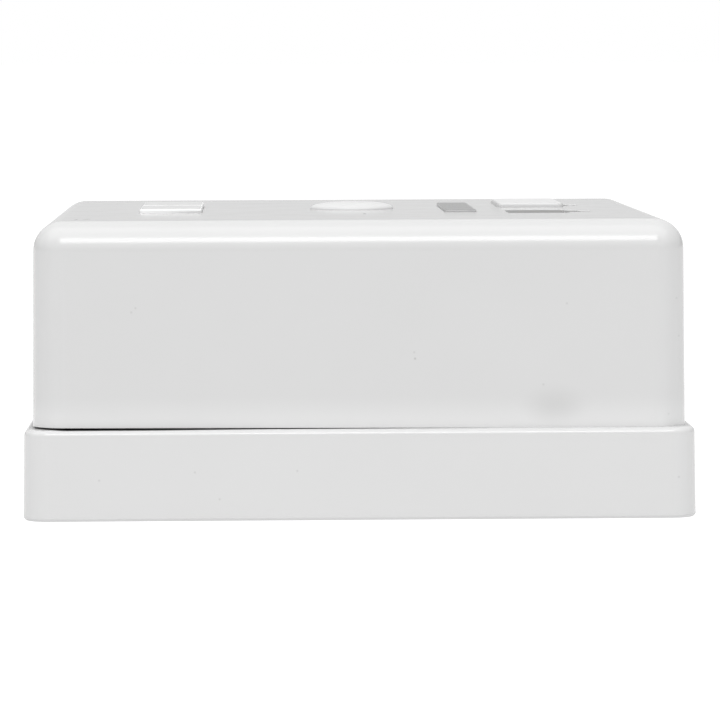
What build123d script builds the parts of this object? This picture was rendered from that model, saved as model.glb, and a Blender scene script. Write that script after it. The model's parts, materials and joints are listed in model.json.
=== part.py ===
from build123d import *
import math
import os

os.makedirs("parts", exist_ok=True)

# A surface-mounted data wall socket with two eight-way sockets in its face.
# Millimetres. The wall face is the plane Z = 0, the face of the box looks along +Z,
# and the origin is the centre of the wall face. The sockets stand on the +X side.

# Base box and its ledge
base_side = 80.0
base_height = 10.8
base_wall = 3.2
base_floor = 2.2
base_corner = 3.0
base_draft = 0.8
ledge_width = 1.1
ledge_round = 0.75
foot_chamfer = 0.3

# Hood over the base
total_height = 35.4
cover_wall = 1.9
cover_face = 2.4
cover_corner = 3.9
cover_draft = 0.55
crown_radius = 3.6
rim_gap = 0.25
rim_gap_end = 16.7

# Ribs on the base that centre the hood
rib_count = 2
rib_length = 9.0
rib_spacing = 42.0
rib_thickness = 1.3
rib_rise = 3.0
fit_clearance = 0.2

# Central screw, its column in the hood, its post in the base and its cap
post_height = 13.7
post_radius = 4.6
column_wall = 1.7
column_gap = 0.3
head_bore_radius = 4.5
head_bore_depth = 8.0
cover_screw_radius = 1.7
cover_screw_head_radius = 3.7
cover_screw_head_height = 2.3
screw_hole_clearance = 0.4
insert_radius = 2.7
insert_length = 8.0
thread_clearance = 0.05
screw_grip = 7.0
cap_radius = 5.3
cap_rise = 0.95
cap_edge_bevel = 0.35
cap_spigot_depth = 2.0
cap_spigot_wall = 0.9
cap_clearance = 0.05

# Eight-way sockets, set out from the edge of the base
port_edge = 17.2
port_spacing = 21.0
port_length = 7.2
port_width = 11.8
latch_shoulder_width = 6.4
latch_shoulder_length = 1.5
latch_slot_width = 3.6
latch_slot_length = 1.5
port_skin = 1.0
port_lead_in = 0.15
jack_wall = 1.9
jack_height = 16.6
jack_seat_gap = 0.1
cavity_depth = 12.4

# Spring contacts in each socket
contact_count = 8
contact_pitch = 1.02
contact_width = 0.45
contact_thickness = 0.35
contact_drop = 1.4
contact_reach = 2.6
contact_travel = 7.0
contact_bend = 0.5
groove_depth = 0.6
groove_width = 0.6

# Circuit board
board_thickness = 1.6
board_back_margin = 1.4
board_front_gap = 2.4
board_width = 49.0
board_corner = 1.5
board_hole_clearance = 0.5
board_post_x = 2.4
board_post_inset = 3.2
board_post_radius = 2.8
board_screw_radius = 1.25
board_screw_head_radius = 2.5
board_screw_head_height = 1.7
board_screw_length = 8.0
screw_head_chamfer = 0.4
cross_length = 1.1
cross_width = 0.26
cross_depth = 0.5

# Wire blocks with insulation-displacing forks
block_x = -11.6
block_width = 8.0
block_height = 11.0
block_pitch = 2.2
block_end = 1.6
block_slot_width = 0.8
block_slot_depth = 5.4
block_chamfer = 1.6
fork_thickness = 0.4
fork_width = 4.6
fork_height = 4.6
fork_slit = 0.5
fork_slit_depth = 3.2

# Cable entry, clamp and wall fixing
entry_length = 23.0
entry_width = 8.6
entry_margin = 2.4
clamp_gap = 1.2
clamp_span = 20.0
clamp_post_radius = 2.7
clamp_post_height = 8.2
clamp_width = 6.0
clamp_thickness = 2.4
clamp_tooth = 0.9
clamp_tooth_count = 5
clamp_screw_length = 8.0
pilot_spare = 0.4
wall_slot_spacing = 60.0
wall_slot_length = 8.0
wall_slot_width = 4.4
wall_pad_rise = 0.8
wall_pad_margin = 2.2
knockout_width = 15.0
knockout_height = 5.6
knockout_groove = 0.8
knockout_depth = 0.6

# Label windows, cards and grey marking strip
window_edge = 17.2
window_y = 6.75
window_width = 7.6
window_length = 11.9
window_rise = 0.58
window_recess = 1.0
window_edge_round = 0.25
card_margin = 0.7
card_thickness = 0.25
strip_gap = 4.0
strip_width = 3.8
strip_length = 26.0
strip_rise = 0.3
strip_recess = 0.5
strip_edge_round = 0.15
inlay_clearance = 0.05

# Dust plug in the far socket
plug_flange_over = 0.4
plug_side_over = 2.7
plug_flange_thickness = 0.55
plug_flange_bevel = 0.2
plug_flange_corner = 0.8
plug_latch_over = 0.7
plug_clearance = 0.3
plug_neck = 1.8
plug_depth = 8.4
plug_seat_gap = 0.05

# Sizes that follow from the ones above
cover_side = base_side - 2 * ledge_width
cover_inner = cover_side - 2 * cover_wall
base_inner = base_side - 2 * base_wall
face_under = total_height - cover_face
column_radius = head_bore_radius + column_wall
column_foot = post_height + column_gap
head_seat = total_height - head_bore_depth
jack_top = total_height - port_skin - jack_seat_gap
jack_foot = jack_top - jack_height
board_foot = jack_foot - board_thickness
port_x = base_side / 2 - port_edge
port_near_x = port_x - port_length / 2
port_full_length = port_length + latch_shoulder_length + latch_slot_length
port_centre_x = port_near_x + port_full_length / 2
jack_length = port_full_length + 2 * jack_wall
jack_width = port_width + 2 * jack_wall
jacks = {"near": -port_spacing / 2, "far": port_spacing / 2}
block_length = contact_count * block_pitch + 2 * block_end
block_y = port_spacing / 2 + block_end
windows = {"near": -window_y, "far": window_y}
window_x = -(base_side / 2 - window_edge)
strip_x = port_near_x - strip_gap - strip_width / 2
board_back_x = block_x - block_width / 2 - board_back_margin
board_front_x = base_inner / 2 - board_front_gap
board_post_xs = (board_post_x, board_front_x - board_post_inset)
board_post_y = board_width / 2 - board_post_inset
board_screw_points = [(x, y) for x in board_post_xs for y in (-board_post_y, board_post_y)]
entry_x = -base_inner / 2 + entry_margin + entry_width / 2
clamp_x = entry_x + entry_width / 2 + clamp_gap + clamp_width / 2
clamp_screw_points = [(clamp_x, -clamp_span / 2), (clamp_x, clamp_span / 2)]


def port_outline(grow):
    # Keyed opening of a socket: the plug's rectangle and the two steps for its latch
    with BuildSketch() as outline:
        with Locations((0, 0)):
            Rectangle(port_length + 2 * grow, port_width + 2 * grow)
        shoulder_length = port_length / 2 + latch_shoulder_length + grow
        with Locations((shoulder_length / 2, 0)):
            Rectangle(shoulder_length, latch_shoulder_width + 2 * grow)
        slot_length = port_length / 2 + latch_shoulder_length + latch_slot_length + grow
        with Locations((slot_length / 2, 0)):
            Rectangle(slot_length, latch_slot_width + 2 * grow)
    return outline.sketch


def pan_screw(points, seat, shank_radius, head_radius, head_height, length):
    # Pan-head screws with a cross recess, all standing on one seat height
    with BuildPart() as screws:
        with BuildSketch(Plane.XY.offset(seat)):
            with Locations(*points):
                Circle(head_radius)
        extrude(amount=head_height)
        chamfer(screws.edges().group_by(Axis.Z)[-1], head_height * screw_head_chamfer)
        with BuildSketch(Plane.XY.offset(seat)):
            with Locations(*points):
                Circle(shank_radius)
        extrude(amount=-length)
        with BuildSketch(Plane.XY.offset(seat + head_height)):
            with Locations(*points):
                Rectangle(head_radius * cross_length, head_radius * cross_width)
                Rectangle(head_radius * cross_width, head_radius * cross_length)
        extrude(amount=-head_height * cross_depth, mode=Mode.SUBTRACT)
    return screws.part


port_cavity = port_outline(0.0)
port_cut = port_outline(port_lead_in)

# Base tray: drafted outer wall, floor, hood ribs, posts, cable entry and wall slots
with BuildPart() as base_tray:
    with BuildSketch():
        RectangleRounded(base_side, base_side, base_corner)
    extrude(amount=base_height, taper=base_draft)
    fillet(base_tray.edges().group_by(Axis.Z)[-1], ledge_round)
    chamfer(base_tray.edges().group_by(Axis.Z)[0], foot_chamfer)
    with BuildSketch(Plane.XY.offset(base_floor)):
        RectangleRounded(base_inner, base_inner, max(base_corner - base_wall, 0.8))
    extrude(amount=base_height, mode=Mode.SUBTRACT)
    # Ribs inside the hood, two to a wall
    rib_offset = base_inner / 2 - rib_thickness / 2
    with BuildSketch(Plane.XY.offset(base_floor)):
        for turn in range(4):
            with Locations(Location((0, 0, 0), (0, 0, 90 * turn))):
                with Locations((rib_offset, 0)):
                    with GridLocations(0, rib_spacing, 1, rib_count):
                        Rectangle(rib_thickness, rib_length)
    extrude(amount=base_height - base_floor + rib_rise)
    # Posts for the board, the clamp and the central screw
    with BuildSketch(Plane.XY.offset(base_floor)):
        with Locations(*board_screw_points):
            Circle(board_post_radius)
    extrude(amount=board_foot - base_floor)
    with BuildSketch(Plane.XY.offset(base_floor)):
        with Locations(*clamp_screw_points):
            Circle(clamp_post_radius)
    extrude(amount=clamp_post_height - base_floor)
    with BuildSketch(Plane.XY.offset(base_floor)):
        Circle(post_radius)
    extrude(amount=post_height - base_floor)
    with BuildSketch(Plane.XY.offset(board_foot)):
        with Locations(*board_screw_points):
            Circle(board_screw_radius + thread_clearance)
    extrude(amount=-(board_screw_length - board_thickness + pilot_spare), mode=Mode.SUBTRACT)
    with BuildSketch(Plane.XY.offset(clamp_post_height)):
        with Locations(*clamp_screw_points):
            Circle(board_screw_radius + thread_clearance)
    extrude(amount=-(clamp_screw_length - clamp_thickness + pilot_spare), mode=Mode.SUBTRACT)
    with BuildSketch(Plane.XY.offset(post_height)):
        Circle(insert_radius)
    extrude(amount=-insert_length, mode=Mode.SUBTRACT)
    # Raised pads round the two wall-screw slots, then the slots and the cable entry
    with BuildSketch(Plane.XY.offset(base_floor)):
        with GridLocations(0, wall_slot_spacing, 1, 2):
            SlotOverall(
                wall_slot_length + 2 * wall_pad_margin,
                wall_slot_width + 2 * wall_pad_margin,
                rotation=90,
            )
    extrude(amount=wall_pad_rise)
    with BuildSketch():
        with GridLocations(0, wall_slot_spacing, 1, 2):
            SlotOverall(wall_slot_length, wall_slot_width, rotation=90)
        with Locations((entry_x, 0)):
            SlotOverall(entry_length, entry_width, rotation=90)
    extrude(amount=base_floor + wall_pad_rise, mode=Mode.SUBTRACT)
    # Knock-out outlined by a groove in the wall on the cable side
    with BuildSketch(Plane.YZ.offset(-base_side / 2)):
        with Locations((0, (base_height + foot_chamfer) / 2)):
            Rectangle(knockout_width, knockout_height)
            Rectangle(
                knockout_width - 2 * knockout_groove,
                knockout_height - 2 * knockout_groove,
                mode=Mode.SUBTRACT,
            )
    extrude(amount=knockout_depth, mode=Mode.SUBTRACT)
base_tray.part.label = "base_tray"
export_step(base_tray.part, "parts/base_tray.step")

# Cover hood: drafted walls under a rounded crown, with a column for the central screw
with BuildPart() as cover_hood:
    with BuildSketch(Plane.XY.offset(base_height)):
        RectangleRounded(cover_side, cover_side, cover_corner)
    extrude(amount=total_height - base_height, taper=cover_draft)
    fillet(cover_hood.edges().group_by(Axis.Z)[-1], crown_radius)
    with BuildSketch(Plane.XY.offset(base_height)):
        RectangleRounded(cover_inner, cover_inner, max(cover_corner - cover_wall, 0.4))
    extrude(amount=face_under - base_height, mode=Mode.SUBTRACT)
    with BuildSketch(Plane.XY.offset(column_foot)):
        Circle(column_radius)
    extrude(amount=face_under - column_foot)
    with Locations((0, 0, total_height)):
        CounterBoreHole(
            radius=cover_screw_radius + screw_hole_clearance,
            counter_bore_radius=head_bore_radius,
            counter_bore_depth=head_bore_depth,
        )
    # The rim lifts off the ledge a little towards the cable side
    with BuildSketch(Plane.XZ):
        with BuildLine():
            Polyline(
                (rim_gap_end, base_height),
                (-cover_side / 2, base_height + rim_gap),
                (-cover_side / 2, base_height),
                close=True,
            )
        make_face()
    extrude(amount=cover_side / 2, both=True, mode=Mode.SUBTRACT)
    # Pockets that take the socket fronts from below, and their keyed openings
    with BuildSketch(Plane.XY.offset(total_height - port_skin)):
        for y in jacks.values():
            with Locations((port_centre_x, y)):
                Rectangle(jack_length + 2 * fit_clearance, jack_width + 2 * fit_clearance)
    extrude(amount=-(cover_face - port_skin), mode=Mode.SUBTRACT)
    with BuildSketch(Plane.XY.offset(total_height)):
        with Locations(*[(port_x, y) for y in jacks.values()]):
            add(port_cut)
    extrude(amount=-cover_face, mode=Mode.SUBTRACT)
    # Recesses for the label windows with their cards, and for the marking strip
    with BuildSketch(Plane.XY.offset(total_height)):
        with Locations(*[(window_x, y) for y in windows.values()]):
            Rectangle(window_width + 2 * inlay_clearance, window_length + 2 * inlay_clearance)
    extrude(amount=-window_recess, mode=Mode.SUBTRACT)
    with BuildSketch(Plane.XY.offset(total_height - window_recess)):
        with Locations(*[(window_x, y) for y in windows.values()]):
            Rectangle(window_width - 2 * card_margin, window_length - 2 * card_margin)
    extrude(amount=-card_thickness, mode=Mode.SUBTRACT)
    with BuildSketch(Plane.XY.offset(total_height)):
        with Locations((strip_x, 0)):
            Rectangle(strip_width + 2 * inlay_clearance, strip_length + 2 * inlay_clearance)
    extrude(amount=-strip_recess, mode=Mode.SUBTRACT)
cover_hood.part.label = "cover_hood"
export_step(cover_hood.part, "parts/cover_hood.step")

# Circuit board with a clear hole for the column and holes for its four screws
board_length = board_front_x - board_back_x
with BuildPart() as circuit_board:
    with BuildSketch(Plane.XY.offset(board_foot)):
        with Locations(((board_front_x + board_back_x) / 2, 0)):
            RectangleRounded(board_length, board_width, board_corner)
        Circle(column_radius + board_hole_clearance, mode=Mode.SUBTRACT)
        with Locations(*board_screw_points):
            Circle(board_screw_radius + thread_clearance, mode=Mode.SUBTRACT)
    extrude(amount=board_thickness)
circuit_board.part.label = "circuit_board"
export_step(circuit_board.part, "parts/circuit_board.step")

# Socket housings: keyed cavity with a comb of grooves that hold the contacts
for side, y in jacks.items():
    with BuildPart() as jack_housing:
        with BuildSketch(Plane.XY.offset(jack_foot)):
            with Locations((port_centre_x, y)):
                Rectangle(jack_length, jack_width)
        extrude(amount=jack_height)
        with BuildSketch(Plane.XY.offset(jack_top)):
            with Locations((port_x, y)):
                add(port_cavity)
        extrude(amount=-cavity_depth, mode=Mode.SUBTRACT)
        with BuildSketch(Plane.XY.offset(jack_top - cavity_depth)):
            with Locations((port_near_x - groove_depth / 2, y)):
                with GridLocations(0, contact_pitch, 1, contact_count):
                    Rectangle(groove_depth, groove_width)
        extrude(amount=cavity_depth - contact_drop + contact_thickness, mode=Mode.SUBTRACT)
    jack_housing.part.label = "jack_housing_" + side
    export_step(jack_housing.part, "parts/jack_housing_" + side + ".step")

# Spring contacts: up the groove, over a tight bend, then sloping into the cavity
contact_top = jack_top - contact_drop
contact_foot = jack_top - cavity_depth
contact_back = port_near_x - groove_depth + contact_thickness / 2
for side, y in jacks.items():
    with BuildPart() as jack_contacts:
        for step in range(contact_count):
            contact_y = y + (step - (contact_count - 1) / 2) * contact_pitch
            with BuildSketch(Plane.XZ.offset(-contact_y - contact_width / 2)):
                with BuildLine():
                    Polyline(
                        (contact_back, contact_foot),
                        (contact_back, contact_top - contact_bend),
                        (contact_back + contact_bend, contact_top - contact_thickness / 2),
                        (port_near_x + contact_reach, contact_top - contact_travel),
                    )
                trace(line_width=contact_thickness)
            extrude(amount=contact_width)
    jack_contacts.part.label = "jack_contacts_" + side
    export_step(jack_contacts.part, "parts/jack_contacts_" + side + ".step")

# Wire blocks: a chamfered bar with eight slots, and a slit fork in each slot
for side, y in jacks.items():
    block_centre_y = math.copysign(block_y, y)
    block_top = jack_foot + block_height
    with BuildPart() as idc_block:
        with BuildSketch(Plane.XY.offset(jack_foot)):
            with Locations((block_x, block_centre_y)):
                Rectangle(block_width, block_length)
        extrude(amount=block_height)
        top_edges = idc_block.faces().sort_by(Axis.Z)[-1].edges().filter_by(Axis.Y)
        chamfer(top_edges, block_chamfer)
        with BuildSketch(Plane.XY.offset(block_top)):
            with Locations((block_x, block_centre_y)):
                with GridLocations(0, block_pitch, 1, contact_count):
                    Rectangle(block_width, block_slot_width)
        extrude(amount=-block_slot_depth, mode=Mode.SUBTRACT)
    idc_block.part.label = "idc_block_" + side
    export_step(idc_block.part, "parts/idc_block_" + side + ".step")

    with BuildPart() as idc_contacts:
        fork_foot = block_top - block_slot_depth
        for step in range(contact_count):
            fork_y = block_centre_y + (step - (contact_count - 1) / 2) * block_pitch
            with BuildSketch(Plane.XZ.offset(-fork_y - fork_thickness / 2)):
                with Locations((block_x, fork_foot + fork_height / 2)):
                    Rectangle(fork_width, fork_height)
                with Locations((block_x, fork_foot + fork_height - fork_slit_depth / 2)):
                    Rectangle(fork_slit, fork_slit_depth, mode=Mode.SUBTRACT)
            extrude(amount=fork_thickness)
    idc_contacts.part.label = "idc_contacts_" + side
    export_step(idc_contacts.part, "parts/idc_contacts_" + side + ".step")

# Board screws
board_screws = pan_screw(
    board_screw_points,
    jack_foot,
    board_screw_radius,
    board_screw_head_radius,
    board_screw_head_height,
    board_screw_length,
)
board_screws.label = "board_screws"
export_step(board_screws, "parts/board_screws.step")

# Cable clamp: a bar with a toothed underside on two posts
with BuildPart() as cable_clamp:
    with BuildSketch(Plane.XY.offset(clamp_post_height)):
        with Locations((clamp_x, 0)):
            SlotOverall(clamp_span + clamp_width, clamp_width, rotation=90)
    extrude(amount=clamp_thickness)
    tooth_pitch = (clamp_span - 2 * clamp_post_radius) / (clamp_tooth_count + 1)
    with BuildSketch(Plane.YZ.offset(clamp_x - clamp_width / 2)):
        with Locations((0, clamp_post_height)):
            with GridLocations(tooth_pitch, 0, clamp_tooth_count, 1):
                RegularPolygon(clamp_tooth, 3, rotation=-90)
    extrude(amount=clamp_width)
    with BuildSketch(Plane.XY.offset(clamp_post_height)):
        with Locations(*clamp_screw_points):
            Circle(board_screw_radius + screw_hole_clearance)
    extrude(amount=clamp_thickness, mode=Mode.SUBTRACT)
cable_clamp.part.label = "cable_clamp"
export_step(cable_clamp.part, "parts/cable_clamp.step")

# Clamp screws
clamp_screws = pan_screw(
    clamp_screw_points,
    clamp_post_height + clamp_thickness,
    board_screw_radius,
    board_screw_head_radius,
    board_screw_head_height,
    clamp_screw_length,
)
clamp_screws.label = "clamp_screws"
export_step(clamp_screws, "parts/clamp_screws.step")

# Threaded brass insert in the central post
with BuildPart() as thread_insert:
    with BuildSketch(Plane.XY.offset(post_height)):
        Circle(insert_radius)
        Circle(cover_screw_radius + thread_clearance, mode=Mode.SUBTRACT)
    extrude(amount=-insert_length)
thread_insert.part.label = "thread_insert"
export_step(thread_insert.part, "parts/thread_insert.step")

# Central screw that holds the hood down
cover_screw = pan_screw(
    [(0, 0)],
    head_seat,
    cover_screw_radius,
    cover_screw_head_radius,
    cover_screw_head_height,
    head_seat - post_height + screw_grip,
)
cover_screw.label = "cover_screw"
export_step(cover_screw, "parts/cover_screw.step")

# Press-in cap over the central screw
spigot_radius = head_bore_radius - cap_clearance
with BuildPart() as screw_cap:
    with BuildSketch(Plane.XY.offset(total_height)):
        Circle(cap_radius)
    extrude(amount=cap_rise)
    chamfer(screw_cap.edges().group_by(Axis.Z)[-1], cap_edge_bevel)
    with BuildSketch(Plane.XY.offset(total_height)):
        Circle(spigot_radius)
        Circle(spigot_radius - cap_spigot_wall, mode=Mode.SUBTRACT)
    extrude(amount=-cap_spigot_depth)
screw_cap.part.label = "screw_cap"
export_step(screw_cap.part, "parts/screw_cap.step")

# Clear label windows and the cards under them
for side, y in windows.items():
    with BuildPart() as label_window:
        with BuildSketch(Plane.XY.offset(total_height - window_recess)):
            with Locations((window_x, y)):
                Rectangle(window_width, window_length)
        extrude(amount=window_recess + window_rise)
        fillet(label_window.edges().group_by(Axis.Z)[-1], window_edge_round)
    label_window.part.label = "label_window_" + side
    export_step(label_window.part, "parts/label_window_" + side + ".step")

    with BuildPart() as label_card:
        with BuildSketch(Plane.XY.offset(total_height - window_recess)):
            with Locations((window_x, y)):
                Rectangle(
                    window_width - 2 * card_margin - 2 * inlay_clearance,
                    window_length - 2 * card_margin - 2 * inlay_clearance,
                )
        extrude(amount=-card_thickness)
    label_card.part.label = "label_card_" + side
    export_step(label_card.part, "parts/label_card_" + side + ".step")

# Grey marking strip let into the face
with BuildPart() as id_strip:
    with BuildSketch(Plane.XY.offset(total_height - strip_recess)):
        with Locations((strip_x, 0)):
            Rectangle(strip_width, strip_length)
    extrude(amount=strip_recess + strip_rise)
    fillet(id_strip.edges().group_by(Axis.Z)[-1], strip_edge_round)
id_strip.part.label = "id_strip"
export_step(id_strip.part, "parts/id_strip.step")

# Dust plug in the far socket: a flange on the face and a wedge that clears the contacts
plug_y = jacks["far"]
flange_foot = total_height + plug_seat_gap
flange_near_x = port_near_x - plug_flange_over
flange_far_x = port_near_x + port_length + plug_latch_over
stem_near_x = port_near_x + plug_clearance
stem_far_x = port_near_x + port_length - plug_clearance
stem_width = port_width - 2 * plug_clearance
with BuildPart() as dust_plug:
    with BuildSketch(Plane.XY.offset(flange_foot)):
        with Locations(((flange_near_x + flange_far_x) / 2, plug_y)):
            RectangleRounded(
                flange_far_x - flange_near_x,
                port_width + 2 * plug_side_over,
                plug_flange_corner,
            )
    extrude(amount=plug_flange_thickness)
    chamfer(dust_plug.edges().group_by(Axis.Z)[-1], plug_flange_bevel)
    with BuildSketch(Plane.XZ.offset(-plug_y - stem_width / 2)):
        with BuildLine():
            Polyline(
                (stem_near_x, flange_foot),
                (stem_near_x, flange_foot - plug_neck),
                (port_near_x + contact_reach + 2 * plug_clearance, flange_foot - plug_depth),
                (stem_far_x, flange_foot - plug_depth),
                (stem_far_x, flange_foot),
                close=True,
            )
        make_face()
    extrude(amount=stem_width)
dust_plug.part.label = "dust_plug"
export_step(dust_plug.part, "parts/dust_plug.step")
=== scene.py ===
import json
import math

import bmesh
import bpy
from mathutils import Matrix, Vector


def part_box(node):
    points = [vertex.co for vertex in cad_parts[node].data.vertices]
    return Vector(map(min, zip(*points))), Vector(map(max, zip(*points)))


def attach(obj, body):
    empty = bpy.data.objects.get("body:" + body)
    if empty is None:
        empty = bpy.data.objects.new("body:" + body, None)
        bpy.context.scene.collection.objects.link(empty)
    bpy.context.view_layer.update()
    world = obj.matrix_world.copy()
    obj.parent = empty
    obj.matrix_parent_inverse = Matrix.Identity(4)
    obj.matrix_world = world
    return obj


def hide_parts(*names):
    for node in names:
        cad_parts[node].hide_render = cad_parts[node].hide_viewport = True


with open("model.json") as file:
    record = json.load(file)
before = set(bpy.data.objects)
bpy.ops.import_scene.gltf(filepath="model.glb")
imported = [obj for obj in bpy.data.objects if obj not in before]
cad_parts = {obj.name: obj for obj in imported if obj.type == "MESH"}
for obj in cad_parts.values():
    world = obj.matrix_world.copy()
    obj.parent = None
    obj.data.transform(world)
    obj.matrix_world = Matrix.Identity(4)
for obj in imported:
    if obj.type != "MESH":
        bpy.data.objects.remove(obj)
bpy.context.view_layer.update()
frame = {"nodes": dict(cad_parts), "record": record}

scene = bpy.context.scene
scene.view_settings.view_transform = "Standard"
millimetre = 0.001


# One socket's value, so that shader maths reads as ordinary sums
class Level:
    def __init__(self, finish, socket):
        self.finish = finish
        self.socket = socket

    def maths(self, operation, other):
        return self.finish.node("ShaderNodeMath", {"operation": operation}, {0: self, 1: other})

    def __add__(self, other):
        return self.maths("ADD", other)

    def __sub__(self, other):
        return self.maths("SUBTRACT", other)

    def __mul__(self, other):
        return self.maths("MULTIPLY", other)

    __radd__ = __add__


# A material whose nodes are added one at a time
class Finish:
    def __init__(self, name):
        self.material = bpy.data.materials.new(name)
        self.material.use_nodes = True
        self.tree = self.material.node_tree
        self.tree.nodes.clear()

    def node(self, kind, settings=None, inputs=None, output=0):
        made = self.tree.nodes.new(kind)
        for setting, value in (settings or {}).items():
            setattr(made, setting, value)
        for socket, value in (inputs or {}).items():
            if isinstance(value, Level):
                self.tree.links.new(value.socket, made.inputs[socket])
            else:
                made.inputs[socket].default_value = value
        return Level(self, made.outputs[output]) if made.outputs else None

    def place(self):
        return self.node("ShaderNodeTexCoord", output="Object")

    def split(self):
        parts = self.node("ShaderNodeSeparateXYZ", {}, {0: self.place()})
        node = parts.socket.node
        return [Level(self, node.outputs[axis]) for axis in "XYZ"]

    def larger(self, one, other):
        return self.node("ShaderNodeMath", {"operation": "MAXIMUM"}, {0: one, 1: other})

    def size(self, level):
        return self.node("ShaderNodeMath", {"operation": "ABSOLUTE"}, {0: level})

    def noise(self, scale, detail=2.0, roughness=0.5):
        inputs = {"Vector": self.place(), "Scale": scale, "Detail": detail, "Roughness": roughness}
        return self.node("ShaderNodeTexNoise", {}, inputs)

    def between(self, level, low, high, start=0.0, end=1.0):
        inputs = {"Value": level, "From Min": low, "From Max": high, "To Min": start, "To Max": end}
        return self.node("ShaderNodeMapRange", {"interpolation_type": "SMOOTHSTEP"}, inputs)

    def nearness(self, centre, size, stretch=(1.0, 1.0, 1.0)):
        # 1 at the centre, fading to 0 at the given size
        inputs = {"Vector": self.place(), "Location": [-c * s for c, s in zip(centre, stretch)], "Scale": stretch}
        moved = self.node("ShaderNodeMapping", {}, inputs)
        far = self.node("ShaderNodeVectorMath", {"operation": "LENGTH"}, {0: moved}, "Value")
        return self.between(far, 0.0, size, 1.0, 0.0)

    def blend(self, factor, one, other):
        settings = {"data_type": "RGBA", "blend_type": "MIX"}
        return self.node("ShaderNodeMix", settings, {0: factor, 6: one, 7: other}, 2)

    def bump(self, height, distance, strength=1.0):
        inputs = {"Height": height, "Distance": distance, "Strength": strength}
        return self.node("ShaderNodeBump", {}, inputs)

    def close(self, **sockets):
        shader = self.node("ShaderNodeBsdfPrincipled", {}, {k.replace("_", " "): v for k, v in sockets.items()})
        self.node("ShaderNodeOutputMaterial", {}, {"Surface": shader})
        return self.material


def grey(level):
    return (level, level, level, 1.0)


# Glossy white moulding: faint mottling, a soft darker patch, tiny specks, painted light low on the hood, painted shade
# in the joint and a dull wall face
mouldingSettings = {
    "roughness": {"hood": 0.17, "base": 0.17, "small": 0.45},
    "nearSide": -0.0392,
    "speckSize": 0.00022,
    "speckGrey": 0.4,
    "topMarkGrey": 0.08,
    "dustCells": 85.0,
    "dustGrey": 0.35,
    # A soft darker patch on the near side: its centre, size and grey
    "darkPatch": (0.0231, -0.0390, 0.0135),
    "darkPatchSize": 0.0037,
    "darkPatchGrey": 0.47,
    # Heights: painted light low on the hood fades in down to the joint, and painted shade lies in the joint
    "paintedLightBelow": 0.0150,
    "shadedJoint": 0.0108,
    "jointShadeGrey": 0.02,
    "jointShadeSpread": 0.0006,
    "cornerCentre": 0.035,
    "cornerReach": 0.0039,
    "dullBelow": 0.0006,
}
# Specks on the near side, as (x, z) in millimetres, on the hood and on the base; the one given twice is darker
specks = [(-27.0, 24.7), (-26.5, 25.2), (6.5, 19.05), (6.5, 19.05), (6.4, 19.8)]
specks += [(21.7, 15.9), (24.5, 25.5), (37.6, 26.0), (37.9, 21.5), (36.6, 12.3)]
specks += [(-19.6, 5.8), (-16.7, 2.6), (-7.5, 5.9), (-30.9, 4.9), (37.7, 4.9)]
# Faint marks on the top and its near edge, as (x, y, z) and half length along X and along Y, in millimetres
topMarks = [((1.2, -17.0, 35.4), 0.28, 2.6), ((-33.7, -31.5, 35.4), 0.3, 1.5), ((-32.5, -30.5, 35.4), 0.7, 1.2)]


# How far a point stands from the inner square the hood's round corners turn about
def squareReach(paint, x, y):
    sides = [paint.larger(paint.size(axis) - mouldingSettings["cornerCentre"], 0.0) for axis in (x, y)]
    return paint.node("ShaderNodeMath", {"operation": "SQRT"}, {0: sides[0] * sides[0] + sides[1] * sides[1]})


# Specks on the near side, marks on the top, and a little dust everywhere else
def speckled(paint, colour, y):
    settings = mouldingSettings
    marks = None
    for across, up in specks:
        centre = (across * millimetre, settings["nearSide"], up * millimetre)
        dot = paint.nearness(centre, settings["speckSize"], (1.0, 0.05, 1.0))
        marks = dot if marks is None else marks + dot
    colour = paint.blend(marks * 0.5, colour, grey(settings["speckGrey"]))
    for centre, long, wide in topMarks:
        mark = paint.nearness([value * millimetre for value in centre], millimetre, (1 / long, 1 / wide, 1.0))
        colour = paint.blend(mark * 0.6, colour, grey(settings["topMarkGrey"]))
    cells = {"Vector": paint.place(), "Scale": settings["dustCells"]}
    spot = paint.between(paint.node("ShaderNodeTexVoronoi", {}, cells, "Distance"), 0.024, 0.014)
    chosen = paint.between(paint.node("ShaderNodeTexVoronoi", {}, cells, "Color"), 0.52, 0.58)
    elsewhere = paint.between(y, settings["nearSide"] + 0.0007, settings["nearSide"] + 0.0017)
    return paint.blend(spot * chosen * elsewhere * 0.4, colour, grey(settings["dustGrey"]))


# The painted shade in the joint is weaker at the -X corner
def jointShadeStrength(paint, x):
    return paint.between(x, -0.0378, -0.0345, 0.25, 1.0)


# The hood has painted light towards its foot, where the bright ledge would light it, a soft darker patch near one
# corner, and painted shade inside its rim
def hoodShadingAndPatch(paint, colour, white, x, z, reach):
    settings = mouldingSettings
    darkPatch = paint.nearness(settings["darkPatch"], settings["darkPatchSize"], (0.75, 0.2, 1.25))
    # Painted light: the hood is painted paler towards its foot, where light from the bright ledge below would fall
    paintedLight = paint.between(z, settings["paintedLightBelow"], settings["shadedJoint"])
    colour = paint.blend(paintedLight * 0.4, colour, grey(white * 1.3))
    colour = paint.blend(darkPatch * 0.5, colour, grey(settings["darkPatchGrey"]))
    # Painted shade: the hood is painted nearly black inside its rim, where the joint would lie in shade
    inside = paint.between(reach, settings["cornerReach"] - 0.0001, settings["cornerReach"] - 0.0003)
    rim = inside * jointShadeStrength(paint, x) * paint.between(z, settings["shadedJoint"] + 0.0008, settings["shadedJoint"] + 0.0006)
    return paint.blend(rim, colour, grey(settings["jointShadeGrey"]))


# Painted shade on the base's ledge under the hood, seen through the joint, wider towards -X
def baseJointShade(paint, x, z, reach):
    settings = mouldingSettings
    spread = paint.between(x, 0.004, -0.026, 0.0, settings["jointShadeSpread"])
    inside = paint.between(reach - spread, settings["cornerReach"], settings["cornerReach"] - 0.0002)
    return inside * paint.between(z, settings["shadedJoint"] - 0.0008, settings["shadedJoint"] - 0.0004) * jointShadeStrength(paint, x)


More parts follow.
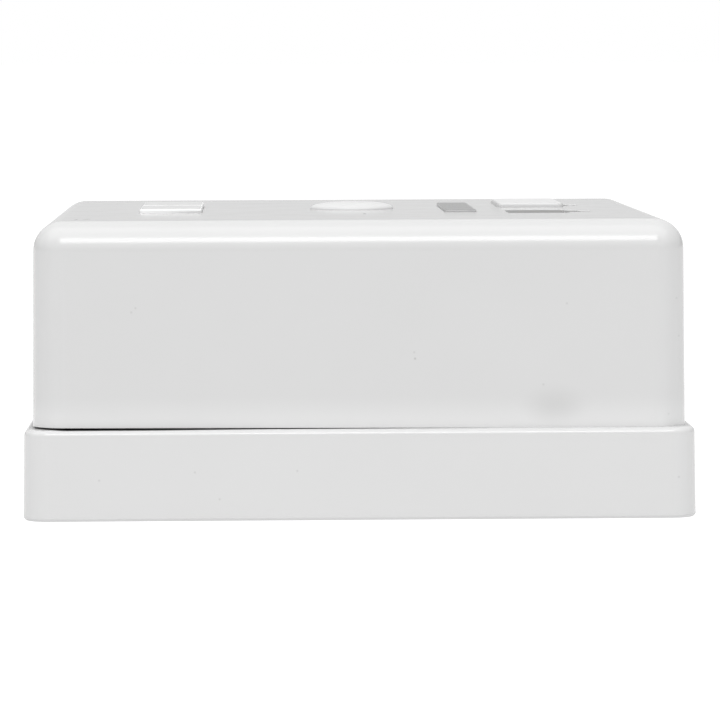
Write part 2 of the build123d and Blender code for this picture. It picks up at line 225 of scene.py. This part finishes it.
def whiteMoulding(name, white, part):
    paint = Finish(name)
    mottle = paint.between(paint.noise(60.0, 2.0), 0.25, 0.75)
    colour = paint.blend(mottle, grey(white), grey(white * 0.988))
    rough = mouldingSettings["roughness"][part] + paint.noise(240.0, 4.0) * 0.05
    if part != "small":
        x, y, z = paint.split()
        reach = squareReach(paint, x, y)
        colour = speckled(paint, colour, y)
    if part == "hood":
        colour = hoodShadingAndPatch(paint, colour, white, x, z, reach)
    if part == "base":
        # Painted shade on the ledge under the hood, seen through the joint; the ledge is also dulled there
        shadedJoint = baseJointShade(paint, x, z, reach)
        colour = paint.blend(shadedJoint, colour, grey(mouldingSettings["jointShadeGrey"]))
        rough = rough + paint.between(z, mouldingSettings["dullBelow"], 0.0002) * 0.35 + shadedJoint * 0.5
    peel = paint.noise(1400.0, 2.0)
    return paint.close(Base_Color=colour, Roughness=rough, Normal=paint.bump(peel, 0.000001, 0.2), IOR=1.5)


def mattMoulding(name, light, dark, roughness, grain=2600.0):
    paint = Finish(name)
    flecks = paint.noise(grain, 3.0, 0.6)
    colour = paint.blend(paint.between(flecks, 0.3, 0.7), light, dark)
    rough = roughness + paint.noise(grain * 0.3, 3.0) * 0.12
    return paint.close(Base_Color=colour, Roughness=rough, Normal=paint.bump(flecks, 0.00001, 0.4))


def plainMetal(name, light, dark, roughness, scale=500.0):
    paint = Finish(name)
    tone = paint.noise(scale, 4.0, 0.6)
    colour = paint.blend(paint.between(tone, 0.35, 0.65), light, dark)
    rough = roughness + paint.noise(scale * 3.0, 3.0) * 0.14
    return paint.close(Base_Color=colour, Roughness=rough, Metallic=1.0, Normal=paint.bump(tone, 0.000004, 0.4))


# Satin grey strip, its sides painted paler, painted light that lifts the shade on its end faces
stripSettings = {"top": 0.0357, "light": 0.275, "dark": 0.245, "side": 0.46, "roughness": 0.24}


def markingStrip(name):
    paint = Finish(name)
    flecks = paint.noise(2600.0, 3.0, 0.6)
    height = paint.split()[2]
    light, dark, sideLightGrey = (grey(stripSettings[part]) for part in ("light", "dark", "side"))
    colour = paint.blend(paint.between(flecks, 0.3, 0.7), light, dark)
    # Painted light: the sides take a paler grey than the top
    side = paint.between(height, stripSettings["top"] - 0.00004, stripSettings["top"] - 0.0001)
    colour = paint.blend(side, colour, sideLightGrey)
    rough = stripSettings["roughness"] + flecks * 0.1
    return paint.close(Base_Color=colour, Roughness=rough, Normal=paint.bump(flecks, 0.00001, 0.4))


# Clear from above; at a low angle the white turns more opaque, a painted sheen; milky down the sides
windowSettings = {"top": 0.03598, "clear": 0.5, "grazing": 0.93, "milky": 0.97, "white": 0.74, "sideWhite": 0.9}


def clearWindow(name):
    paint = Finish(name)
    haze = paint.noise(320.0, 3.0)
    height = paint.split()[2]
    side = paint.between(height, windowSettings["top"] - 0.00001, windowSettings["top"] - 0.00006)
    white = windowSettings["white"]
    colour = paint.blend(paint.between(haze, 0.3, 0.7), grey(white), grey(white * 0.97))
    colour = paint.blend(side, colour, grey(windowSettings["sideWhite"]))
    rough = 0.16 + paint.between(haze, 0.4, 0.75) * 0.02 + side * 0.25
    # Painted sheen: the white grows more opaque towards a low angle
    facing = paint.node("ShaderNodeLayerWeight", {}, {"Blend": 0.5}, "Facing")
    sheen = paint.between(facing, 0.5, 0.9, windowSettings["clear"], windowSettings["grazing"])
    alpha = paint.larger(sheen, side * windowSettings["milky"])
    return paint.close(Base_Color=colour, Roughness=rough, Alpha=alpha, IOR=1.49)


def solderMask(name):
    paint = Finish(name)
    weave = paint.node("ShaderNodeTexBrick", {}, {"Vector": paint.place(), "Scale": 900.0}, "Fac")
    colour = paint.blend(paint.noise(160.0, 3.0), (0.012, 0.13, 0.06, 1.0), (0.02, 0.2, 0.09, 1.0))
    return paint.close(Base_Color=colour, Roughness=0.3 + weave * 0.08, Normal=paint.bump(weave, 0.000006, 0.3))


finishes = {
    "hood": whiteMoulding("white_hood", 0.575, "hood"),
    "base": whiteMoulding("white_base", 0.60, "base"),
    "small": whiteMoulding("white_small_mouldings", 0.618, "small"),
    "strip": markingStrip("grey_strip"),
    "jack": mattMoulding("black_jack", grey(0.018), grey(0.026), 0.38),
    "block": mattMoulding("natural_block", (0.55, 0.55, 0.5, 1), (0.5, 0.5, 0.46, 1), 0.4),
    "card": mattMoulding("white_card", grey(0.85), grey(0.82), 0.75, 5200.0),
    "gold": plainMetal("gold_contact", (0.83, 0.58, 0.2, 1), (0.72, 0.48, 0.15, 1), 0.18),
    "brass": plainMetal("turned_brass", (0.7, 0.5, 0.2, 1), (0.6, 0.42, 0.16, 1), 0.26),
    "tin": plainMetal("tinned_fork", (0.66, 0.65, 0.62, 1), (0.58, 0.57, 0.54, 1), 0.3),
    "zinc": plainMetal("zinc_screw", (0.62, 0.63, 0.65, 1), (0.5, 0.51, 0.54, 1), 0.28),
    "window": clearWindow("clear_window"),
    "board": solderMask("green_board"),
}
print("finishes made:", len(finishes))


def plainPiece(name, mesh, finish, body, slot, *nodes):
    piece = bpy.data.objects.new(name, mesh)
    scene.collection.objects.link(piece)
    mesh.materials.clear()
    mesh.materials.append(finishes[finish])
    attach(piece, body)
    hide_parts(*nodes)


# The mesh of an edited shape, which is let go
def meshFrom(name, shape):
    mesh = bpy.data.meshes.new(name)
    shape.to_mesh(mesh)
    shape.free()
    return mesh


# Smooth shading, broken at edges sharper than the given angle in degrees
def smoothed(mesh, sharpest):
    for face in mesh.polygons:
        face.use_smooth = True
    mesh.set_sharp_from_angle(angle=math.radians(sharpest))
    return mesh


# What an object's modifiers make of it, as plain mesh
def finalMesh(thing):
    bpy.context.view_layer.update()
    return bpy.data.meshes.new_from_object(thing.evaluated_get(bpy.context.evaluated_depsgraph_get()))


# A copy of a solid with its facets joined, its sharp outer edges rounded and its curves shaded smooth.
# Edges below "above" stay sharp, and "lowered" moves the corners at one height to another.
def roundedCopy(node, edge, above=-1.0, lowered=None, crease=32.0):
    shape = bmesh.new()
    shape.from_mesh(frame["nodes"][node].data)
    for corner in shape.verts:
        if lowered and abs(corner.co.z - lowered[0]) < 1e-5:
            corner.co.z = lowered[1]
    bmesh.ops.remove_doubles(shape, verts=shape.verts, dist=1e-6)
    bmesh.ops.dissolve_limit(shape, angle_limit=math.radians(0.4), verts=shape.verts, edges=shape.edges)
    corners = [
        line
        for line in shape.edges
        if line.is_manifold
        and line.calc_face_angle(0.0) > math.radians(crease)
        and min(end.co.z for end in line.verts) > above
    ]
    bevel = {"offset": edge, "segments": 3, "profile": 0.5, "affect": "EDGES"}
    bmesh.ops.bevel(shape, geom=corners, clamp_overlap=True, loop_slide=True, **bevel)
    mesh = smoothed(meshFrom(node + "_rounded", shape), crease)
    # Large flat faces keep their own shading beside the rounded edges
    shaded = bpy.data.objects.new(node + "_shaded", mesh)
    scene.collection.objects.link(shaded)
    weighting = shaded.modifiers.new("weighting", "WEIGHTED_NORMAL")
    weighting.keep_sharp = True
    result = finalMesh(shaded)
    bpy.data.objects.remove(shaded)
    result.name = node + "_look"
    return result


# Pieces that keep their solid's shape, with the radius of their rounded edges in metres.
# The plug's flange is lowered onto the hood.
roundedPieces = {
    "cover_hood": {"edge": 0.00012, "above": 0.0115, "finish": "hood", "slot": "shell"},
    "base_tray": {"edge": 0.00010, "finish": "base", "slot": "shell"},
    "jack_housing_near": {"edge": 0.00008, "finish": "jack", "slot": "jack_body"},
    "jack_housing_far": {"edge": 0.00008, "finish": "jack", "slot": "jack_body"},
    "label_window_near": {"edge": 0.00008, "above": 0.0356, "finish": "window", "slot": "window"},
    "label_window_far": {"edge": 0.00008, "above": 0.0356, "finish": "window", "slot": "window"},
    "id_strip": {"edge": 0.00006, "finish": "strip", "slot": "strip"},
    "dust_plug": {
        "edge": 0.00026,
        "above": 0.0356,
        "lowered": (0.03545, 0.035404),
        "finish": "small",
        "slot": "plug",
    },
}
bodyOf = {node: body for body, members in frame["record"]["behaviour"]["bodies"].items() for node in members}
for node, settings in roundedPieces.items():
    mesh = roundedCopy(node, settings["edge"], settings.get("above", -1.0), settings.get("lowered"))
    plainPiece(node + "_look", mesh, settings["finish"], bodyOf[node], settings["slot"], node)
print("rounded pieces made:", len(roundedPieces))


# Press-in cap: a domed button over a thin round spigot, turned round the Z axis
capSettings = {
    "around": 128,
    "rings": 20,
    "rise": 0.00095,
    "dome": 2.5,
    "spigot": 0.00445,
    "spigotWall": 0.0009,
    "hollow": 0.0004,
}


def capMesh(name, low, high):
    foot, radius = high[2] - capSettings["rise"], (high[0] - low[0]) / 2
    outer, inner = capSettings["spigot"], capSettings["spigot"] - capSettings["spigotWall"]
    ceiling = foot + capSettings["hollow"]
    profile = [(0.0, ceiling), (inner, ceiling), (inner, low[2]), (outer, low[2]), (outer, foot), (radius, foot)]
    bulge = 2 / capSettings["dome"]
    for ring in range(1, capSettings["rings"] + 1):
        turn = math.pi / 2 * ring / capSettings["rings"]
        profile.append((radius * math.cos(turn) ** bulge, foot + capSettings["rise"] * math.sin(turn) ** bulge))
    shape = bmesh.new()
    centre = ((low[0] + high[0]) / 2, (low[1] + high[1]) / 2)
    spots = [shape.verts.new((centre[0] + away, centre[1], height)) for away, height in profile]
    lines = [shape.edges.new(pair) for pair in zip(spots, spots[1:])]
    axis = {"cent": (*centre, 0.0), "axis": (0, 0, 1), "angle": 2 * math.pi, "steps": capSettings["around"]}
    bmesh.ops.spin(shape, geom=spots + lines, use_merge=True, **axis)
    bmesh.ops.remove_doubles(shape, verts=shape.verts, dist=1e-7)
    bmesh.ops.recalc_face_normals(shape, faces=shape.faces)
    return smoothed(meshFrom(name, shape), 50)


cap = capMesh("screw_cap_look", *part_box("screw_cap"))
plainPiece("screw_cap_look", cap, "small", "socket_box", "shell", "screw_cap")
print("cap made")


# Geometry Nodes tree that sets copies of one shape in rows and columns, as plain mesh with its material
def rowsTree():
    tree = bpy.data.node_groups.new("rows_and_columns", "GeometryNodeTree")
    wanted = {"Piece": "Object", "Finish": "Material", "Start": "Vector", "Along": "Vector", "Across": "Vector"}
    wanted.update({"Along count": "Int", "Across count": "Int"})
    for name, kind in wanted.items():
        tree.interface.new_socket(name, in_out="INPUT", socket_type="NodeSocket" + kind)
    tree.interface.new_socket("Geometry", in_out="OUTPUT", socket_type="NodeSocketGeometry")
    given = tree.nodes.new("NodeGroupInput").outputs

    def step(kind, inputs, output=0, **settings):
        made = tree.nodes.new(kind)
        for setting, value in settings.items():
            setattr(made, setting, value)
        for socket, source in inputs.items():
            tree.links.new(source, made.inputs[socket])
        return made.outputs[output]

    line = {"Count": given["Along count"], "Start Location": given["Start"], "Offset": given["Along"]}
    along = step("GeometryNodeMeshLine", line, mode="OFFSET")
    across = step("GeometryNodeMeshLine", {"Count": given["Across count"], "Offset": given["Across"]}, mode="OFFSET")
    spots = step("GeometryNodeInstanceOnPoints", {"Points": along, "Instance": across})
    spots = step("GeometryNodeRealizeInstances", {"Geometry": spots})
    piece = step("GeometryNodeObjectInfo", {"Object": given["Piece"]}, "Geometry", transform_space="ORIGINAL")
    copies = step("GeometryNodeInstanceOnPoints", {"Points": spots, "Instance": piece})
    copies = step("GeometryNodeRealizeInstances", {"Geometry": copies})
    dressed = step("GeometryNodeSetMaterial", {"Geometry": copies, "Material": given["Finish"]})
    tree.links.new(dressed, tree.nodes.new("NodeGroupOutput").inputs[0])
    return tree


rows = rowsTree()


def repeatedMesh(name, pieceMesh, finish, start, along, alongCount, across=(0.0, 0.0, 0.0), acrossCount=1):
    piece = bpy.data.objects.new(name + "_one", pieceMesh)
    holder = bpy.data.objects.new(name + "_rows", bpy.data.meshes.new(name + "_rows"))
    scene.collection.objects.link(piece)
    scene.collection.objects.link(holder)
    modifier = holder.modifiers.new("rows", "NODES")
    modifier.node_group = rows
    values = {"Piece": piece, "Finish": finishes[finish], "Start": start, "Along": along, "Across": across}
    values.update({"Along count": alongCount, "Across count": acrossCount})
    for item in rows.interface.items_tree:
        if item.in_out == "INPUT":
            modifier[item.identifier] = values[item.name]
    result = finalMesh(holder)
    bpy.data.objects.remove(holder)
    bpy.data.objects.remove(piece)
    result.name = name
    return smoothed(result, 35)


# Solid between an outline in the X-Z plane and its copy across Y, its edges rounded
def plateMesh(name, outline, thickness, edge):
    shape = bmesh.new()
    corners = [shape.verts.new((x, -thickness / 2, z)) for x, z in outline]
    face = shape.faces.new(corners)
    pulled = bmesh.ops.extrude_face_region(shape, geom=[face])["geom"]
    moved = [item for item in pulled if isinstance(item, bmesh.types.BMVert)]
    bmesh.ops.translate(shape, verts=moved, vec=(0, thickness, 0))
    bmesh.ops.recalc_face_normals(shape, faces=shape.faces)
    rims = [line for line in shape.edges if line.calc_face_angle(0.0) > math.radians(40)]
    bmesh.ops.bevel(shape, geom=rims, offset=edge, segments=2, profile=0.5, affect="EDGES", clamp_overlap=True)
    return meshFrom(name, shape)


# Even-width ribbon outline round a path, its corners eased by cutting them again and again
def ribbonOutline(path, thickness, rounds=3):
    for turn in range(rounds):
        eased = [path[0]]
        for (ax, az), (bx, bz) in zip(path, path[1:]):
            for share in (0.25, 0.75):
                eased.append((ax * (1 - share) + bx * share, az * (1 - share) + bz * share))
        path = eased + [path[-1]]
    left, right = [], []
    for place, (x, z) in enumerate(path):
        ax, az = path[max(place - 1, 0)]
        bx, bz = path[min(place + 1, len(path) - 1)]
        length = math.hypot(bx - ax, bz - az)
        sideX, sideZ = -(bz - az) / length * thickness / 2, (bx - ax) / length * thickness / 2
        left.append((x + sideX, z + sideZ))
        right.append((x - sideX, z - sideZ))
    return left + right[::-1]


# Spring contacts: eight to a socket, up the groove and over a round bend, then down into the opening
contactSettings = {
    "count": 8,
    "width": 0.00045,
    "thickness": 0.00035,
    "bend": 0.0009,
    "drop": 0.0061,
    "tip": 0.0003,
    "edge": 0.00004,
}
for side in ("near", "far"):
    low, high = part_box("jack_contacts_" + side)
    half = contactSettings["thickness"] / 2
    bend, drop = contactSettings["bend"], contactSettings["drop"]
    back, top = low[0] + half, high[2] - half
    reach = high[0] - back - half
    path = [(0, low[2]), (0, top - bend * 1.6), (0, top - bend * 0.5)]
    path += [(bend * 0.45, top), (bend * 1.1, top - bend * 0.5)]
    path += [(reach - half * 2, top - drop), (reach, top - drop - contactSettings["tip"])]
    ribbon = ribbonOutline(path, half * 2)
    strip = plateMesh("contact_" + side, ribbon, contactSettings["width"], contactSettings["edge"])
    pitch = (high[1] - low[1] - contactSettings["width"]) / (contactSettings["count"] - 1)
    start = (back, low[1] + contactSettings["width"] / 2, 0.0)
    name = "spring_contacts_" + side
    mesh = repeatedMesh(name, strip, "gold", start, (0.0, pitch, 0.0), contactSettings["count"])
    plainPiece(name, mesh, "gold", "socket_box", "contact_gold", "jack_contacts_" + side)

# Insulation-displacing forks: eight to a block, each a plate with a funnel-mouthed slit
forkSettings = {
    "count": 8,
    "width": 0.0046,
    "height": 0.0046,
    "thickness": 0.0004,
    "slit": 0.0005,
    "slitDepth": 0.0032,
    "mouth": 0.0016,
    "mouthDepth": 0.0009,
    "shoulder": 0.0007,
    "edge": 0.00004,
}
for side in ("near", "far"):
    low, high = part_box("idc_contacts_" + side)
    wide, tall = forkSettings["width"] / 2, forkSettings["height"]
    slit, mouth = forkSettings["slit"] / 2, forkSettings["mouth"] / 2
    floor, mouthFloor = tall - forkSettings["slitDepth"], tall - forkSettings["mouthDepth"]
    half = [(wide, 0), (wide, mouthFloor), (wide - forkSettings["shoulder"], tall)]
    half += [(mouth, tall), (slit, mouthFloor), (slit, floor)]
    outline = half + [(-x, z) for x, z in half[::-1]]
    fork = plateMesh("fork_" + side, outline, forkSettings["thickness"], forkSettings["edge"])
    pitch = (high[1] - low[1] - forkSettings["thickness"]) / (forkSettings["count"] - 1)
    start = ((low[0] + high[0]) / 2, low[1] + forkSettings["thickness"] / 2, low[2])
    name = "wire_forks_" + side
    mesh = repeatedMesh(name, fork, "tin", start, (0.0, pitch, 0.0), forkSettings["count"])
    plainPiece(name, mesh, "tin", "socket_box", "fork_metal", "idc_contacts_" + side)


# Pan-head screw, its sizes as shares of the head's radius and height
headSettings = {
    "around": 64,
    "rings": 16,
    "rim": 0.42,
    "roundness": 3.2,
    "armWidth": 0.13,
    "armLength": 0.56,
    "armDepth": 0.48,
    "armSlope": 0.2,
    "tip": 0.35,
}


# Height of the head's surface at one point, lower in the arms of the cross
def crossCut(x, y, height, headRadius, headHeight):
    nearest, farthest = sorted((abs(x), abs(y)))
    length = headRadius * headSettings["armLength"]
    if height <= headHeight * 0.5 or nearest >= headRadius * headSettings["armWidth"] or farthest >= length:
        return height
    slope = min(1.0, (length - farthest) / (headRadius * headSettings["armSlope"]))
    return height - headHeight * headSettings["armDepth"] * slope


# A domed head with a cross recess, turned round the Z axis, its seat at z = 0
def screwMesh(name, headRadius, headHeight, shankRadius, length):
    shape = bmesh.new()
    around, rings, rim = headSettings["around"], headSettings["rings"], headSettings["rim"]
    profile = [(shankRadius * headSettings["tip"], -length), (shankRadius, -length + shankRadius), (shankRadius, 0.0)]
    profile += [(headRadius * 0.97, 0.0), (headRadius, headHeight * 0.08), (headRadius, headHeight * rim)]
    for ring in range(1, rings + 1):
        radius = headRadius * (1 - ring / rings * 0.985)
        dome = 1 - (radius / headRadius) ** headSettings["roundness"]
        profile.append((radius, headHeight * (rim + (1 - rim) * dome)))
    loops = []
    for radius, height in profile:
        loop = []
        for spot in range(around):
            angle = 2 * math.pi * spot / around
            x, y = radius * math.cos(angle), radius * math.sin(angle)
            loop.append(shape.verts.new((x, y, crossCut(x, y, height, headRadius, headHeight))))
        loops.append(loop)
    for lower, upper in zip(loops, loops[1:]):
        for spot in range(around):
            after = (spot + 1) % around
            shape.faces.new((lower[spot], lower[after], upper[after], upper[spot]))
    shape.faces.new(loops[0][::-1])
    shape.faces.new(loops[-1])
    bmesh.ops.recalc_face_normals(shape, faces=shape.faces)
    return meshFrom(name, shape)


# Screws of the board and the clamp, and the one under the cap
screwSettings = {
    "board_screws": {"headRadius": 0.0025, "headHeight": 0.0017, "shankRadius": 0.00125, "rows": (2, 2)},
    "clamp_screws": {"headRadius": 0.0025, "headHeight": 0.0017, "shankRadius": 0.00125, "rows": (2, 1)},
    "cover_screw": {"headRadius": 0.0037, "headHeight": 0.0023, "shankRadius": 0.0017, "rows": (1, 1)},
}
for node, settings in screwSettings.items():
    low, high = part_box(node)
    head, tall = settings["headRadius"], settings["headHeight"]
    screw = screwMesh(node + "_shape", head, tall, settings["shankRadius"], high[2] - tall - low[2])
    start = (low[0] + head, low[1] + head, high[2] - tall)
    alongY = (0.0, high[1] - low[1] - 2 * head, 0.0)
    alongX = (high[0] - low[0] - 2 * head, 0.0, 0.0)
    yCount, xCount = settings["rows"]
    mesh = repeatedMesh(node + "_look", screw, "zinc", start, alongY, yCount, alongX, xCount)
    plainPiece(node + "_look", mesh, "zinc", "socket_box", "screw_steel", node)
print("repeated pieces made")

# Solids that stay as they are and only take a finish
carriedFinishes = {
    "circuit_board": "board",
    "idc_block_near": "block",
    "idc_block_far": "block",
    "cable_clamp": "small",
    "thread_insert": "brass",
    "label_card_near": "card",
    "label_card_far": "card",
}
for node, finish in carriedFinishes.items():
    worn = frame["nodes"][node].data.materials
    if not worn:
        worn.append(None)
    for place in range(len(worn)):
        worn[place] = finishes[finish]
print("solids given a finish:", len(carriedFinishes))

# Pale floor, soft light from above the camera and a pale surround
stageSettings = {"floor": 80.0, "below": 0.00002, "floorWhite": 0.22, "floorGlow": 0.86, "aim": (0, 0, 0.02)}
lightSettings = {
    "strip": {"elevation": 43.0, "azimuth": 0.0, "distance": 1.4, "size": (0.62, 0.42), "power": 5.2},
    "top": {"elevation": 76.0, "azimuth": -12.0, "distance": 1.5, "size": (3.0, 1.4), "power": 15.8},
}
# Brightness of the surround, by the height of the direction: 0.5 at the horizon and 1 overhead
surroundStops = [(0.5, 1.0), (0.512, 1.0), (0.53, 0.45), (0.57, 0.45), (0.63, 0.8), (1.0, 0.95)]
# Near the horizon it is dimmer at both sides and behind the camera
dimmingSettings = {"shift": 0.12, "forward": -0.8, "lift": -0.75, "start": 0.35, "least": 0.13}


def makeFloor():
    half = stageSettings["floor"]
    mesh = bpy.data.meshes.new("floor_mesh")
    corners = [(-half, -half), (half, -half), (half, half), (-half, half)]
    mesh.from_pydata([(x, y, -stageSettings["below"]) for x, y in corners], [], [(0, 1, 2, 3)])
    floor = bpy.data.objects.new("floor", mesh)
    scene.collection.objects.link(floor)
    paint = Finish("pale_floor")
    mesh.materials.append(
        paint.close(
            Base_Color=grey(stageSettings["floorWhite"]),
            Roughness=0.9,
            Emission_Color=grey(1.0),
            Emission_Strength=stageSettings["floorGlow"],
        )
    )


def makeLight(name, settings):
    lamp = bpy.data.lights.new(name, "AREA")
    lamp.shape = "RECTANGLE"
    lamp.size, lamp.size_y = settings["size"]
    lamp.energy = settings["power"]
    light = bpy.data.objects.new(name, lamp)
    rise, turn = math.radians(settings["elevation"]), math.radians(settings["azimuth"])
    away = Vector((math.sin(turn) * math.cos(rise), -math.cos(turn) * math.cos(rise), math.sin(rise)))
    light.location = away * settings["distance"] + Vector(stageSettings["aim"])
    light.rotation_mode = "QUATERNION"
    light.rotation_quaternion = (-away).to_track_quat("-Z", "Y")
    scene.collection.objects.link(light)


makeFloor()
for name, settings in lightSettings.items():
    makeLight(name, settings)
world = bpy.data.worlds.new("pale_surround")
world.use_nodes = True
scene.world = world


def makeSurround(tree):
    def maths(operation, *values):
        made = tree.nodes.new("ShaderNodeMath")
        made.operation = operation
        for place, value in enumerate(values):
            if isinstance(value, float):
                made.inputs[place].default_value = value
            else:
                tree.links.new(value, made.inputs[place])
        return made.outputs[0]

    direction = tree.nodes.new("ShaderNodeTexCoord").outputs["Generated"]
    parts = tree.nodes.new("ShaderNodeSeparateXYZ")
    height = tree.nodes.new("ShaderNodeMapRange")
    height.inputs["From Min"].default_value = -1.0
    ramp = tree.nodes.new("ShaderNodeValToRGB")
    for place, (position, level) in enumerate(surroundStops):
        stop = ramp.color_ramp.elements[place] if place < 2 else ramp.color_ramp.elements.new(position)
        stop.position = position
        stop.color = grey(level)
    tree.links.new(direction, parts.inputs[0])
    tree.links.new(parts.outputs["Z"], height.inputs["Value"])
    tree.links.new(height.outputs[0], ramp.inputs[0])
    tree.links.new(ramp.outputs[0], tree.nodes["Background"].inputs["Color"])
    settings = dimmingSettings
    sideways = maths("ABSOLUTE", maths("ADD", parts.outputs["X"], settings["shift"]))
    outward = maths("MAXIMUM", sideways, maths("MULTIPLY", parts.outputs["Y"], settings["forward"]))
    dimming = tree.nodes.new("ShaderNodeMapRange")
    for socket, value in {"From Min": settings["start"], "To Min": 1.0, "To Max": settings["least"]}.items():
        dimming.inputs[socket].default_value = value
    lifted = maths("MULTIPLY_ADD", parts.outputs["Z"], settings["lift"], outward)
    tree.links.new(lifted, dimming.inputs["Value"])
    tree.links.new(dimming.outputs[0], tree.nodes["Background"].inputs["Strength"])


makeSurround(world.node_tree)

# Camera: a long lens a little above the face, as in the photograph
cameraSettings = {
    "place": (-0.01245, -0.52430, 0.05427),
    "turn": 1.467,
    "pitch": 4.163,
    "roll": -0.22,
    "lens": 205.9,
}


def makeCamera(settings):
    turn, pitch, roll = (math.radians(settings[k]) for k in ("turn", "pitch", "roll"))
    level = Vector((math.sin(turn), math.cos(turn), 0.0))
    side = Vector((math.cos(turn), -math.sin(turn), 0.0))
    forward = level * math.cos(pitch) - Vector((0, 0, math.sin(pitch)))
    up = level * math.sin(pitch) + Vector((0, 0, math.cos(pitch)))
    right = side * math.cos(roll) + up * math.sin(roll)
    above = up * math.cos(roll) - side * math.sin(roll)
    data = bpy.data.cameras.new("camera")
    data.sensor_width = 36.0
    data.lens = settings["lens"]
    data.clip_end = 50.0
    camera = bpy.data.objects.new("camera", data)
    camera.matrix_world = Matrix.Translation(settings["place"]) @ Matrix((right, above, -forward)).transposed().to_4x4()
    scene.collection.objects.link(camera)
    scene.camera = camera


makeCamera(cameraSettings)
print("stage and camera made")
